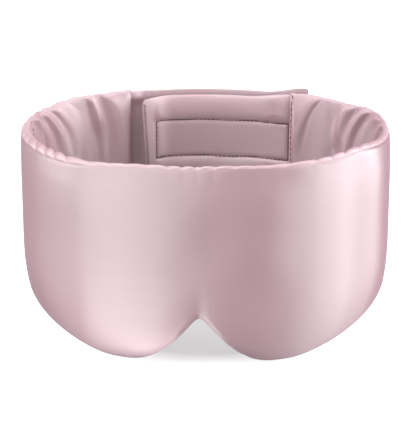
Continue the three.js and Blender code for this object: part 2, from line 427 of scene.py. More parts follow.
def spread(field, di, dj):
    """How far each point is from the middle of its two neighbours, di columns and dj rows away."""
    count_i, count_j = field.shape[:2]
    i, j = np.arange(count_i), np.arange(count_j)
    ahead = field[np.ix_(np.clip(i + di, 0, count_i - 1), np.clip(j + dj, 0, count_j - 1))]
    behind = field[np.ix_(np.clip(i - di, 0, count_i - 1), np.clip(j - dj, 0, count_j - 1))]
    return (ahead + behind) / 2 - field


def fold_seeds(s, height, draw):
    """Faint waves that start the folds. They lean, because the folds fan down towards the closure."""
    lean = FOLD_LEAN * np.abs(s)[:, None] / HALF_LENGTH
    across = np.abs(s)[:, None] - lean * (RIM_HEIGHT - height)
    total = np.zeros(height.shape)
    for wave in draw.uniform(9 * MM, 26 * MM, 14):
        phase = draw.uniform(0, 2 * math.pi, 2)
        turn = np.where(s[:, None] < 0, phase[0], phase[1])
        total += np.sin(2 * math.pi * across / wave + turn) * draw.uniform(0.4, 1)
    return total / 4


def gathered(s, height, base):
    """The skin after its spare length has buckled over the padding."""
    draw = np.random.default_rng(SEED)
    rows = np.arange(base.shape[1])[None, :]
    place = s[:, None]
    band = ramp(np.abs(place), 118 * MM, 145 * MM)
    lining = rows > SEAM_ROW
    lip = bump(rows, SEAM_ROW + 4, 7.0)
    spare = np.where(lining, LINING_SPARE + BAND_LINING_SPARE * band, BAND_FACE_SPARE * band)
    gather = 1.0 + spare + LIP_SPARE * lip
    soft = np.where(lining, 0.25 + 0.5 * band, 0.04 + 0.8 * band)
    hold = 0.16 * (1 - soft) ** 2 + 0.004 + 0.02 * lining * band
    normal = grid_normals(base)
    points = base + normal * (fold_seeds(s, height, draw) * soft * 0.35 * MM)[..., None]

    # A fold stands no higher than the room beside it: little on the faces that the other band's tab
    # slides over.
    slid_over = np.where(place < 0, lining, ~lining) * ramp(np.abs(place), 165 * MM, 195 * MM)
    out_limit = (2.6 - 1.6 * slid_over) * (1 - 0.7 * lip) * MM
    in_limit = (1.3 - 0.7 * band) * (1 - 0.5 * lip) * MM
    toward = np.sign(place) * np.where(lining, 1, -1)
    down = (toward > 0)[..., None]
    ends = 1 - ramp(np.minimum(s - s[0], s[-1] - s), 0, 9 * MM)[:, None]
    hems = 1 - ramp(np.minimum(rows, rows[:, ::-1]), 0, 8)
    pinned = np.maximum(0.5 * ends, 0.6 * hems)
    hold = np.maximum(hold, pinned)[..., None]
    woven = links(base, gather)
    leaning = (0.35 * band)[..., None]
    for _ in range(GATHER_STEPS):
        for linked in woven:
            pull(points, *linked)
        moved = points - base
        moved += 0.05 * spread(moved, 1, 0)
        moved += (0.5 - leaning) * spread(moved, 0, 1)
        moved += leaning * np.where(down, spread(moved, 1, 2), spread(moved, -1, 2))
        moved *= 1 - hold
        rise = (moved * normal).sum(-1)
        kept = np.clip(rise, -in_limit, out_limit)
        points = base + moved + ((kept - rise)[..., None]) * normal
    return points


def refined(points):
    """The grid with a new column halfway between each two, on a smooth curve through its neighbours."""
    a, b = points[:-1], points[1:]
    before = np.concatenate([points[:1], points[:-2]])
    after = np.concatenate([points[2:], points[-1:]])
    full = np.empty((2 * len(points) - 1, *points.shape[1:]))
    full[::2] = points
    full[1::2] = (9 * (a + b) - (before + after)) / 16
    return full


def puckered(s, points):
    """Petals of cloth along the rim, between the stitches of the seam that hold them down."""
    step = np.linalg.norm(np.diff(points, axis=1), axis=-1)
    length = np.concatenate([np.zeros((len(s), 1)), np.cumsum(step, axis=1)], axis=1)
    down = length - length[:, SEAM_ROW : SEAM_ROW + 1]
    place = s[:, None]
    wander = 0.30 * np.sin(place / (17 * MM)) + 0.16 * np.sin(place / (6.1 * MM) + 1)
    lean = 0.07 * np.sign(place) * np.maximum(down, 0) / MM
    petal = np.abs(np.sin(math.pi * (place / PUCKER_PITCH + wander - lean))) ** 0.55
    cheek = ramp(np.abs(place), 35 * MM, 80 * MM) * (1 - ramp(np.abs(place), 132 * MM, 150 * MM))
    uneven = 0.7 + 0.3 * np.sin(place / (13 * MM) + 2)
    strong = (0.6 + 0.25 * cheek) * uneven * np.where(place > 30 * MM, 0.6, 1.0)
    wide = (3.6 + 4.5 * cheek) * MM
    over = ramp(down, 0, 0.25 * wide) * (1 - ramp(down, 0.75 * wide, 1.3 * wide))
    behind = bump(down, 0.95 * wide, 1.4 * MM)
    outside = bump(down, -3.5 * MM, 3.2 * MM) * (1.0 - 0.6 * cheek)
    lift = PETAL_HEIGHT * (petal - 0.7) * over - PETAL_TUCK * petal * behind
    lift = lift + PETAL_RIDGE * (petal - 0.5) * outside
    groove = (0.15 + 0.6 * cheek) * bump(down, 0, 0.6 * MM)
    notch = 1 - ramp(np.abs(place), 18 * MM, 30 * MM)
    from_hem = np.minimum(length, length[:, -1:] - length)
    hem_groove = (0.3 + 0.8 * notch) * bump(from_hem, 0, (0.5 + 0.5 * notch) * MM)
    normal = grid_normals(points)
    return points + normal * ((strong * lift - groove - hem_groove) * MM)[..., None]


# ---- meshes ----

def mesh_object(name, places, faces, facing=None):
    mesh = bpy.data.meshes.new(name)
    mesh.from_pydata(np.asarray(places).tolist(), [], [tuple(face) for face in faces])
    mesh.validate()
    mesh.shade_smooth()
    if facing is not None:
        mesh.normals_split_custom_set_from_vertices(facing.tolist())
    obj = bpy.data.objects.new(name, mesh)
    bpy.context.scene.collection.objects.link(obj)
    return obj


def numbered(*shape):
    """The numbers of a grid's points."""
    return np.arange(math.prod(shape)).reshape(shape)


def quads(*corners):
    """Four-sided faces from four grids of numbers, one for each corner."""
    return np.stack(corners, axis=-1).reshape(-1, 4)


def shell(name, points, normals, thickness=CLOTH):
    """A closed piece of cloth from a grid of points: the face, its back, and a rim between them."""
    number = numbered(*points.shape[:2])
    face = quads(number[:-1, :-1], number[1:, :-1], number[1:, 1:], number[:-1, 1:])
    back = face[:, ::-1] + number.size
    border = np.concatenate([number[:, 0], number[-1, 1:], number[-2::-1, -1], number[0, -2:0:-1]])
    after = np.roll(border, -1)
    rim_faces = quads(after, border, border + number.size, after + number.size)
    places = np.concatenate([points.reshape(-1, 3), (points - normals * thickness).reshape(-1, 3)])
    facing = np.concatenate([normals.reshape(-1, 3), -normals.reshape(-1, 3)])
    return mesh_object(name, places, np.concatenate([face, back, rim_faces]).tolist(), facing)


def tube(name, loops):
    """A closed solid through a row of closed loops, with a flat cap at each end."""
    number = numbered(*loops.shape[:2])
    after = np.roll(number, -1, axis=1)
    faces = quads(number[:-1], number[1:], after[1:], after[:-1]).tolist()
    faces += [number[0].tolist(), number[-1, ::-1].tolist()]
    return mesh_object(name, loops.reshape(-1, 3), faces)


THREAD_TIP = 0.35


def threads(name, centres, along, normal, path, radius, sides=6):
    """Many short threads in one mesh. Each runs through path, a list of (along, up) steps from its
    centre, and both its tips are thinner, by THREAD_TIP."""
    path = np.array(path)
    centres, along, normal = (np.asarray(v, dtype=float) for v in (centres, along, normal))
    across = np.cross(normal, along)
    slope = unit(np.gradient(path, axis=0))
    turn = np.arange(sides) * 2 * math.pi / sides
    width = np.full((len(path), 1), radius)
    width[[0, -1]] *= THREAD_TIP
    aside, above = ((width * wave(turn))[..., None] for wave in (np.cos, np.sin))
    middle = centres[:, None] + along[:, None] * path[:, :1] + normal[:, None] * path[:, 1:]
    lifted = normal[:, None] * slope[:, :1] - along[:, None] * slope[:, 1:]
    rings = middle[:, :, None] + across[:, None, None] * aside + lifted[:, :, None] * above
    number = numbered(len(centres), len(path), sides)
    after = np.roll(number, -1, axis=2)
    faces = quads(number[:, :-1], after[:, :-1], after[:, 1:], number[:, 1:]).tolist()
    faces += number[:, 0, ::-1].tolist() + number[:, -1].tolist()
    return mesh_object(name, rings.reshape(-1, 3), faces)


def bow(length, rise, dip, steps=7):
    """A stitch's path: it comes out of the cloth, lies on it and goes back in."""
    t = np.linspace(-1, 1, steps)
    return np.stack([t * length / 2, (rise + dip) * (1 - t**4) - dip], axis=1)


# ---- materials ----

class Surface:
    """A Principled material and the nodes that vary it over the surface."""

    def __init__(self, name, **settings):
        self.material = bpy.data.materials.new(name)
        self.material.use_nodes = True
        self.tree = self.material.node_tree
        self.shader = self.tree.nodes["Principled BSDF"]
        for setting, value in settings.items():
            self.shader.inputs[setting.replace("_", " ")].default_value = value
        self.place = self.node("ShaderNodeTexCoord").outputs["Object"]

    def node(self, kind, **inputs):
        node = self.tree.nodes.new(kind)
        for name, value in inputs.items():
            socket = node.inputs[name.replace("_", " ")]
            if isinstance(value, bpy.types.NodeSocket):
                self.tree.links.new(value, socket)
            else:
                socket.default_value = value
        return node

    def stretched(self, x, y, z):
        """The place on the object, in metres times these scales."""
        return self.node("ShaderNodeMapping", Vector=self.place, Scale=(x, y, z)).outputs["Vector"]

    def noise(self, place, scale, detail=2.0):
        node = self.node("ShaderNodeTexNoise", Vector=place, Scale=scale, Detail=detail)
        return node.outputs["Fac"]

    def stripes(self, scale, direction, distortion=0.0):
        node = self.node("ShaderNodeTexWave", Vector=self.place, Scale=scale, Distortion=distortion)
        node.bands_direction = direction
        return node.outputs["Fac"]

    def range(self, value, low, high):
        node = self.node("ShaderNodeMapRange", Value=value, To_Min=low, To_Max=high)
        return node.outputs["Result"]

    def colour(self, value, low, high):
        """The base colour runs from low to high with a value."""
        ramp_node = self.node("ShaderNodeValToRGB", Fac=value)
        for element, position, colour in zip(ramp_node.color_ramp.elements, (0.3, 0.7), (low, high)):
            element.position = position
            element.color = (*colour, 1)
        self.tree.links.new(ramp_node.outputs["Color"], self.shader.inputs["Base Color"])

    def rough(self, value, low, high):
        self.tree.links.new(self.range(value, low, high), self.shader.inputs["Roughness"])

    def finish(self, pattern, low, high, roughness, strength, distance):
        """One pattern sets the colour, the roughness and the relief. Gives the finished material."""
        self.colour(pattern, low, high)
        self.rough(pattern, *roughness)
        self.bump(pattern, strength, distance)
        return self.material

    def bump(self, height, strength, distance, under=None):
        node = self.node("ShaderNodeBump", Height=height, Strength=strength, Distance=distance)
        if under is not None:
            self.tree.links.new(under, node.inputs["Normal"])
        self.tree.links.new(node.outputs["Normal"], self.shader.inputs["Normal"])
        return node.outputs["Normal"]


THREADS_PER_METRE = 2600


def satin_material(name, low, high, roughness, ior, anisotropy):
    """Satin: its long floating threads run round the mask, so a highlight spreads up and down it."""
    surface = Surface(
        name,
        IOR=ior,
        Specular_IOR_Level=1.0,
        Anisotropic=anisotropy,
        Anisotropic_Rotation=0.25,
        Sheen_Weight=0.15,
        Sheen_Roughness=0.35,
        Sheen_Tint=(0.9, 0.7, 0.77, 1),
    )
    tangent = surface.node("ShaderNodeTangent")
    tangent.direction_type = "RADIAL"
    tangent.axis = "Z"
    surface.tree.links.new(tangent.outputs["Tangent"], surface.shader.inputs["Tangent"])
    slubs = surface.noise(surface.stretched(25, 25, 420), 1.0, 3.0)
    cloudy = surface.noise(surface.stretched(14, 14, 14), 1.0, 3.0)
    surface.colour(cloudy, low, high)
    surface.rough(slubs, roughness - 0.035, roughness + 0.035)
    wefts = surface.stripes(THREADS_PER_METRE / 20, "Z", 0.6)
    fine = surface.bump(wefts, 0.05, 0.1 * MM)
    surface.bump(slubs, 0.10, 0.25 * MM, fine)
    return surface.material


def thread_material(name, low, high):
    surface = Surface(name, Sheen_Weight=0.3, Specular_IOR_Level=0.5)
    ply = surface.stripes(140, "DIAGONAL", 1.0)
    return surface.finish(ply, low, high, (0.5, 0.7), 0.5, 0.1 * MM)


def padding_material():
    surface = Surface("padding", Sheen_Weight=0.4, Sheen_Roughness=0.6)
    fibres = surface.noise(surface.stretched(900, 900, 300), 1.0, 5.0)
    return surface.finish(fibres, (0.68, 0.63, 0.61), (0.86, 0.83, 0.81), (0.9, 1.0), 0.6, 0.5 * MM)


def blackout_material():
    surface = Surface("blackout_fabric", Sheen_Weight=0.2)
    weave = surface.stripes(90, "Z", 0.5)
    return surface.finish(weave, (0.012, 0.01, 0.012), (0.035, 0.03, 0.034), (0.85, 0.95), 0.4, 0.1 * MM)


def elastic_material():
    surface = Surface("elastic", Sheen_Weight=0.3)
    ribs = surface.stripes(25, "Z", 0.1)
    return surface.finish(ribs, (0.34, 0.22, 0.26), (0.56, 0.41, 0.46), (0.7, 0.85), 0.5, 0.3 * MM)


def tape_material(name, low, high, grain, roughness):
    surface = Surface(name, Sheen_Weight=0.35, Sheen_Roughness=0.5)
    fuzz = surface.noise(surface.stretched(grain, grain, grain), 1.0, 4.0)
    return surface.finish(fuzz, low, high, (roughness - 0.08, roughness + 0.08), 0.7, 0.3 * MM)


SATIN = satin_material("satin", (0.285, 0.138, 0.176), (0.32, 0.162, 0.202), 0.5, 2.2, 0.85)
# The lining, the inner tab's face and the outer tab's closing face use the same satin as the face, but a
# copy painted much lighter. Its colour paints in light that the shaded inside of the ring doesn't get.
LINING_PAINTED_LIGHTER = satin_material("lining_satin", (0.445, 0.268, 0.314), (0.485, 0.297, 0.344), 0.56, 2.0, 0.75)
# The box stitch's thread is near black. This is partly its own colour and partly painted shade of the
# groove that it sinks into.
THREAD_AND_GROOVE_SHADE = thread_material("thread", (0.055, 0.022, 0.032), (0.11, 0.048, 0.064))
# Thread for the tabs' overlocked edges. On the seams at the tabs, its darker colour also paints shade.
EDGE_THREAD_AND_SEAM_SHADE = thread_material("edge_thread", (0.13, 0.06, 0.08), (0.24, 0.12, 0.155))
SEAM_THREAD = thread_material("seam_thread", (0.36, 0.18, 0.225), (0.44, 0.24, 0.29))
PADDING = padding_material()
BLACKOUT = blackout_material()
ELASTIC = elastic_material()
HOOK_TAPE = tape_material("hook_tape", (0.24, 0.12, 0.16), (0.34, 0.19, 0.24), 700, 0.6)
LOOP_TAPE = tape_material("loop_tape", (0.32, 0.17, 0.22), (0.46, 0.28, 0.34), 1100, 0.9)


def dress(obj, material, slot, *nodes):
    """Gives a piece its material and hides the CAD nodes that it stands for."""
    obj.data.materials.append(material)
    if nodes:
        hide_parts(*nodes)
    return obj


# ---- baking the pieces in place ----

SWING_REACH = 28 * MM
STRETCH_INSET = 3 * MM
PEEL_REACH = 26 * MM


def along_ring(s):
    return tuple(ring(s, 0, RIM_HEIGHT * 0.7).tolist())


def bend_at_temple(obj, side):
    """Bakes the piece's transform into its mesh. Points on the ring at the temple and past it are worked
    out but not used.
    """
    sign, _ = BANDS[side]
    start, stop = along_ring(sign * TEMPLE), along_ring(sign * (TEMPLE + SWING_REACH))
    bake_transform(obj)


def slide_to_tab(obj, side):
    """Bakes the piece's transform into its mesh. Points on the ring near the band's two ends are worked out
    but not used.
    """
    sign, end = BANDS[side]
    start, stop = along_ring(sign * (BAND_SPLIT + STRETCH_INSET)), along_ring(sign * (end - STRETCH_INSET))
    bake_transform(obj)


def peel_back(obj, tab):
    """Bakes the piece's transform into its mesh. Points on the back by the tab's root are worked out but
    not used.
    """
    away = math.copysign(PEEL_REACH, tab.end - tab.root)
    start = back_point(tab.root, 0, RIM_HEIGHT * 0.7)
    stop = back_point(tab.root + away, 0, RIM_HEIGHT * 0.7)
    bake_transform(obj)


# ---- front and bands ----

BLACKOUT_UNDER = 0.3 * MM
BLACKOUT_THICK = 0.3 * MM
PADDING_UNDER_FACE = 1.25 * MM
PADDING_UNDER_LINING = 0.85 * MM
SEAM_ALLOWANCE = 12 * MM


def declare_sheet(first, last):
    """Works out a panel's cut height, seam allowance included, between two places along the ring; it keeps
    and gives back nothing.
    """
    s = np.linspace(first, last, 60)
    wide = rim(s) - bottom_edge(s) + SEAM_ALLOWANCE


def build_front(points, normal, column):
    first, last = column(-TEMPLE), column(TEMPLE)
    front = slice(first, last + 1)
    rows = points.shape[1]

    face = shell("front_face_cloth", points[front, : SEAM_ROW + 1], normal[front, : SEAM_ROW + 1])
    dress(face, SATIN, "satin", "front_outer_satin")
    lining = shell("front_lining_cloth", points[front, SEAM_ROW:], normal[front, SEAM_ROW:])
    dress(lining, LINING_PAINTED_LIGHTER, "lining_satin", "front_lining")

    inner = slice(first + 2, last - 1, 2)
    under = CLOTH + BLACKOUT_UNDER
    part = inner, slice(4, SEAM_ROW - 4, 2)
    place = points[part] - under * normal[part]
    blackout = shell("front_blackout_cloth", place, normal[part], BLACKOUT_THICK)
    dress(blackout, BLACKOUT, "blackout_fabric", "front_blackout_layer")

    part = inner, slice(2, rows - 2, 2)
    depth = np.where(np.arange(rows) <= SEAM_ROW, PADDING_UNDER_FACE, PADDING_UNDER_LINING)[part[1]]
    loops = points[part] - normal[part] * depth[None, :, None]
    for _ in range(4):
        loops = loops + 0.4 * spread(loops, 1, 0)
    fill = tube("front_padding_fill", loops)
    dress(fill, PADDING, "padding", "front_padding")

    declare_sheet(-TEMPLE, TEMPLE)
    declare_sheet(-TEMPLE, TEMPLE)
    declare_sheet(-TEMPLE, TEMPLE)
    for obj in (face, lining, blackout, fill):
        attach(obj, "mask_front")


def band_halves(end):
    """A band's two halves: name, where each starts and ends, and the function that is then called on each
    piece.
    """
    return ("front", TEMPLE, BAND_SPLIT, bend_at_temple), ("rear", BAND_SPLIT, end, slide_to_tab)


def build_band(side, points, normal, column):
    sign, end = BANDS[side]
    for half, near, far, follow in band_halves(end):
        first, last = sorted((column(sign * near), column(sign * far)))
        for part, rows, material, slot, node in (
            ("face", slice(0, SEAM_ROW + 1), SATIN, "satin", "outer_satin"),
            ("lining", slice(SEAM_ROW, None), LINING_PAINTED_LIGHTER, "lining_satin", "inner_satin"),
        ):
            piece = slice(first, last + 1), rows
            obj = shell(f"{side}_band_{half}_{part}_cloth", points[piece], normal[piece])
            dress(obj, material, slot, f"{side}_band_{node}")
            low, high = sorted((sign * near, sign * far))
            declare_sheet(low, high)
            follow(obj, side)


ELASTIC_WIDTH = 40 * MM
ELASTIC_HALF = 0.6 * MM
ELASTIC_RIB = 2 * MM


def build_elastic(side):
    """The ribbed strap inside a band, in two halves that meet where the cloth's halves do."""
    sign, end = BANDS[side]
    up = np.linspace(-0.5, 0.5, 61) * ELASTIC_WIDTH
    half = ELASTIC_HALF - 0.12 * MM * (1 + np.cos(2 * math.pi * up / ELASTIC_RIB))
    offset = np.concatenate([half, -half[::-1]])
    height = np.concatenate([up, up[::-1]])
    for part, near, far, follow in band_halves(end - 1 * MM):
        s = np.linspace(sign * near, sign * far, 24)[:, None]
        if sign < 0:
            s = s[::-1]
        middle = (bottom_edge(s) + RIM_HEIGHT) / 2
        loops = ring(s, band_shift(s) + offset[None, :], middle + height[None, :])
        obj = tube(f"{side}_band_elastic_{part}", loops)
        dress(obj, ELASTIC, "elastic", f"{side}_band_elastic")
        follow(obj, side)


ROW_STITCH = 2.6 * MM
ROW_PITCH = 3.4 * MM
THREAD_RADIUS = 0.22 * MM


def grid_row(points, normal, i, rows, pitch):
    """Places, directions and normals at an even pitch down one column of a grid."""
    line, up = points[i, rows], normal[i, rows]
    length = np.concatenate([[0], np.cumsum(np.linalg.norm(np.diff(line, axis=0), axis=1))])
    stops = np.arange(pitch / 2, length[-1], pitch)
    centre, facing = (
        np.stack([np.interp(stops, length, axis) for axis in values.T], axis=1) for values in (line, up)
    )
    return centre, unit(np.gradient(centre, axis=0)), unit(facing)


def build_band_stitching(side, points, normal, column):
    sign, end = BANDS[side]
    lining = slice(SEAM_ROW + 10, points.shape[1] - 6)
    outside = slice(6, SEAM_ROW - 6)
    rows = (
        ("temple", sign * (TEMPLE + 2 * MM), lining),
        ("tab", sign * (end - 1.4 * MM), outside if side == "left" else lining),
    )
    for name, place, part in rows:
        line = grid_row(points, normal, column(place), part, ROW_PITCH)
        stitch = bow(ROW_STITCH, 0.2 * MM, 0.35 * MM)
        obj = threads(f"{side}_{name}_seam_thread", *line, stitch, THREAD_RADIUS)
        # The seams at the tabs are sewn with the darker edge thread. Its colour paints the shade of the
        # crease where a band's end meets its tab.
        material = SEAM_THREAD if name == "temple" else EDGE_THREAD_AND_SEAM_SHADE
        dress(obj, material, "thread", f"{side}_{name}_seam_stitching")
        if name == "temple":
            bend_at_temple(obj, side)
        else:
            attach(obj, f"{side}_tab_seam")


# ---- end tabs ----

TAB_STEP = 0.8 * MM
TAB_MIDDLE = 3.2 * MM
TAB_FLANGE = 4 * MM
TAB_TUCK = 1 * MM
TAB_CLOTH = 0.3 * MM
TAPE_INSET = 1 * MM
TAPE_THICK = 0.6 * MM
BOX_PITCH = 2.4 * MM
BOX_THREAD_RADIUS = 0.27 * MM
OVERLOCK_PITCH = 1.6 * MM
OVERLOCK_WIDTH = 1.8 * MM
OVERLOCK_INSET = 0.6 * MM
OVERLOCK_THREAD_RADIUS = 0.17 * MM

# How far a tab's pad stands out: on the face that shows, inside and round the box stitch, and on the
# closing face. No cloth is nearer than TAB_THIN to the tab's middle.
PAD_IN_BOX = 1.35 * MM
PAD_ROUND_BOX = 2.6 * MM
PAD_CLOSING = 0.9 * MM
TAB_THIN = 0.12 * MM


def back_point(place, offset, z):
    """A point on the back of the ring, from its place measured along it from the back centre."""
    place, offset, z = np.broadcast_arrays(place, offset, z)
    angle, reach = place / BACK_RADIUS, BACK_RADIUS + offset
    centre = HALF_DEPTH - BACK_RADIUS
    return np.stack([reach * np.sin(angle), centre + reach * np.cos(angle), z], axis=-1)


def puff(distance, reach):
    return np.sqrt(1 - (1 - np.clip(distance / reach, 0, 1)) ** 2)


def wobble(place):
    """The box stitch isn't sewn quite straight."""
    return 0.3 * MM * np.sin(place / (6.3 * MM)) * np.sin(place / (17 * MM) + 1)


class Tab:
    """One end tab. lay is +1 for the outer tab and -1 for the inner one."""

    def __init__(self, side, lay, root, end, tape, tape_ends, rise, slant, curl, corner):
        self.side, self.lay, self.root, self.end = side, lay, root, end
        self.tape, self.tape_ends = tape, tape_ends
        self.rise, self.slant, self.curl, self.corner = rise, slant, curl, corner
        low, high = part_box(f"{side}_tab_padding")
        self.bottom, self.top = low.z, high.z
        low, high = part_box(f"{tape}_stitching")
        self.stitch_low, self.stitch_high = low.z + 0.4 * MM, high.z - 0.4 * MM
        self.inward = math.copysign(1, root - end)

    def end_at(self, z):
        """The free edge isn't quite upright."""
        down = (self.top - z) / (self.top - self.bottom)
        return self.end + self.inward * self.slant * down

    def top_at(self, place):
        return self.top + self.rise(place)

    def grid(self):
        """Places and heights of the tab's own grid, which is closer near its edges."""
        count = int(abs(self.end - self.root) / TAB_STEP)
        rows = int((self.top - self.bottom) / (0.75 * MM))
        t, up = np.meshgrid(spaced(0, 1, count, 0.5), spaced(0, 1, rows, 0.5), indexing="ij")
        start = self.root + self.inward * TAB_TUCK
        place = start + (self.end - start) * t
        z = self.bottom + (self.top_at(place) - self.bottom) * up
        place = start + (self.end_at(z) - start) * t
        to_free = np.abs(place - self.end_at(z))
        near = np.maximum(self.corner - to_free, 0)
        corner = self.corner - np.sqrt(self.corner**2 - np.minimum(near, self.corner) ** 2)
        middle = (self.top_at(place) + self.bottom) / 2
        return place, middle + (z - middle) * (1 - corner / (self.top_at(place) - self.bottom) * 2)

    def offsets(self, place, z):
        """Offsets of the middle, and half thicknesses of the face that shows and the closing face."""
        to_free = np.abs(place - self.end_at(z))
        to_root = np.abs(place - self.root)
        top = self.top_at(place)
        low, high = self.tape_ends
        level = z + wobble(place)
        aside = np.minimum(place - low, high - place)
        within = np.minimum(level - self.stitch_low, self.stitch_high - level)
        inside = np.minimum(aside, within)
        outside = np.hypot(np.maximum(-aside, 0), np.maximum(-within, 0))
        to_line = np.where(inside > 0, inside, outside)
        edges = puff(z - self.bottom, 7 * MM) * puff(top - z, 8 * MM) * puff(to_root + 0.3 * MM, 5 * MM)
        edges = edges * (0.1 + 0.9 * ramp(to_free, TAB_FLANGE - 2.5 * MM, TAB_FLANGE + 8 * MM))
        full = np.where(inside > 0, PAD_IN_BOX, PAD_ROUND_BOX)
        sunk = 0.1 + 0.9 * puff(to_line - 0.25 * MM, np.where(inside > 0, 3.0, 6.0) * MM)
        ripple = np.sin(place / (1.7 * MM) + 2 * np.sin(z / (5 * MM))) * np.exp(-to_line / (2.5 * MM))
        slow = np.sin(place / (7 * MM) + 3 * np.sin(z / (19 * MM))) * np.sin(z / (4.5 * MM))
        showing = full * edges * sunk * (1 + 0.05 * ripple + 0.05 * slow) + TAB_THIN
        closing = PAD_CLOSING * edges + TAB_THIN
        bent = self.curl * ramp(22 * MM - to_free, 0, 22 * MM) ** 1.6
        if self.lay > 0:
            by_root = (1 - ramp(to_root, 3 * MM, 9 * MM)) * puff(top - z, 5 * MM)
            closing = closing + 1.6 * MM * bump(top - z, 2.5 * MM, 4.5 * MM) * by_root
            bent = bent + 1.8 * MM * (1 - ramp(to_root, 4 * MM, 16 * MM))
        return TAB_MIDDLE + bent, showing, closing

    def surface(self, place, z, out=0.0, closing=False):
        """A point out from the face that shows, or from the closing face."""
        middle, up, down = self.offsets(place, z)
        offset = middle - down - out if closing else middle + up + out
        return back_point(place, self.lay * offset, z)

    def facing(self, place, z, closing=False):
        """The normal of that face."""
        step = 0.2 * MM
        along = self.surface(place + step, z, 0, closing) - self.surface(place - step, z, 0, closing)
        up = self.surface(place, z + step, 0, closing) - self.surface(place, z - step, 0, closing)
        normal = unit(np.cross(up, along))
        away = back_point(place, 1.0, z) - back_point(place, 0.0, z)
        wanted = self.lay * (-1 if closing else 1)
        return normal * np.sign((normal * away).sum(-1, keepdims=True)) * wanted


def tab_face(tab, place, z, out, closing):
    """A grid of points on one face and its normals, in the order that turns its faces outwards."""
    points, normal = tab.surface(place, z, out, closing), tab.facing(place, z, closing)
    if (grid_normals(points) * normal).sum() < 0:
        points, normal = points[::-1], normal[::-1]
    return points, normal


def tab_cloth(tab, name, closing):
    face = tab_face(tab, *tab.grid(), 0, closing)
    return shell(f"{tab.side}_tab_{name}_cloth", *face, TAB_CLOTH)


def tab_fill(tab):
    """The wadding between a tab's two cloths."""
    place, z = tab.grid()
    inner = slice(3, -8), slice(3, -3)
    place, z = place[inner], z[inner]
    middle, up, down = tab.offsets(place, z)
    up = np.maximum(0.9 * up - 0.55 * MM, -0.02 * MM)
    down = np.maximum(0.9 * down - 0.5 * MM, 0.04 * MM)
    showing = back_point(place, tab.lay * (middle + up), z)
    closing = back_point(place, tab.lay * (middle - down), z)
    loops = np.concatenate([showing, closing[:, ::-1]], axis=1)
    if tab.inward * tab.lay < 0:
        loops = loops[:, ::-1]
    return tube(f"{tab.side}_tab_fill", loops)


def box_line(tab):
    """Places and heights at an even pitch round the tape's box stitch, with the direction of sewing."""
    low, high = tab.tape_ends
    bottom, top = tab.stitch_low, tab.stitch_high
    corners = [(low, bottom), (high, bottom), (high, top), (low, top)]
    places, ways = [], []
    for (a, b), (c, d) in zip(corners, corners[1:] + corners[:1]):
        length = math.hypot(c - a, d - b)
        count = int(round(length / BOX_PITCH))
        for k in range(count):
            t = (k + 0.5) / count
            places.append((a + (c - a) * t, b + (d - b) * t))
            ways.append(((c - a) / length, (d - b) / length))
    place, z = np.array(places).T
    return place, z - wobble(place), np.array(ways)


def on_tab(tab, place, z, ways, out):
    """Centres, directions and normals of threads that lie on the face that shows."""
    normal = tab.facing(place, z)
    centre = tab.surface(place, z, out)
    east = unit(back_point(place + 0.1 * MM, 0, z) - back_point(place - 0.1 * MM, 0, z))
    along = east * ways[:, :1] + np.array([0, 0, 1.0]) * ways[:, 1:]
    along -= normal * (along * normal).sum(-1, keepdims=True)
    return centre, unit(along), normal


def overlock_threads(tab):
    """The zigzag over a tab's free edge."""
    z = np.arange(tab.bottom + 2.5 * MM, tab.top - 2.5 * MM, OVERLOCK_PITCH / 2)
    lean = np.where(np.arange(len(z)) % 2, 1, -1) * OVERLOCK_PITCH / 2
    place = tab.end_at(z) + tab.inward * (OVERLOCK_INSET + OVERLOCK_WIDTH / 2)
    ways = unit(np.stack([np.full(len(z), OVERLOCK_WIDTH), lean], axis=1))
    return on_tab(tab, place, z, ways, 0.02 * MM)


def tape_strip(tab):
    """The woven backing of a hook or loop tape, sewn to the closing face."""
    low, high = tab.tape_ends[0] - TAPE_INSET, tab.tape_ends[1] + TAPE_INSET
    place, z = np.meshgrid(
        np.linspace(low, high, 60),
        np.linspace(tab.stitch_low - TAPE_INSET, tab.stitch_high + TAPE_INSET, 24),
        indexing="ij",
    )
    face = tab_face(tab, place, z, TAPE_THICK, True)
    return shell(f"{tab.tape}_strip", *face, TAPE_THICK - 0.1 * MM)


def tape_pile(tab, name, pitch, path, radius, spin, draw):
    """The hooks or loops that stand on a tape, each turned a little at random."""
    low, high = tab.tape_ends
    place, z = np.meshgrid(
        np.arange(low, high, pitch),
        np.arange(tab.stitch_low + 0.8 * MM, tab.stitch_high - 0.5 * MM, pitch),
    )
    place, z = place.ravel(), z.ravel()
    place = place + draw.uniform(-0.2, 0.2, place.shape) * pitch
    z = z + draw.uniform(-0.2, 0.2, z.shape) * pitch
    normal = tab.facing(place, z, True)
    centre = tab.surface(place, z, TAPE_THICK - 0.02 * MM, True)
    upright = unit(np.array([0, 0, 1.0]) - normal * normal[:, 2:])
    side = np.cross(normal, upright)
    angle = draw.uniform(-spin, spin, len(place))[:, None]
    along = upright * np.cos(angle) + side * np.sin(angle)
    return threads(f"{tab.tape}_{name}", centre, along, normal, path, radius, sides=4)


HOOK = [(0, 0), (0, 0.22 * MM), (0.05 * MM, 0.4 * MM), (0.2 * MM, 0.47 * MM), (0.32 * MM, 0.36 * MM)]
LOOP = [(-0.3 * MM, 0), (-0.25 * MM, 0.26 * MM), (0, 0.42 * MM), (0.25 * MM, 0.26 * MM), (0.3 * MM, 0)]
BOX_STITCH = bow(2.3 * MM, 0.2 * MM, 0.3 * MM)
OVERLOCK_STITCH = bow(2.0 * MM, 0.14 * MM, 0.25 * MM)


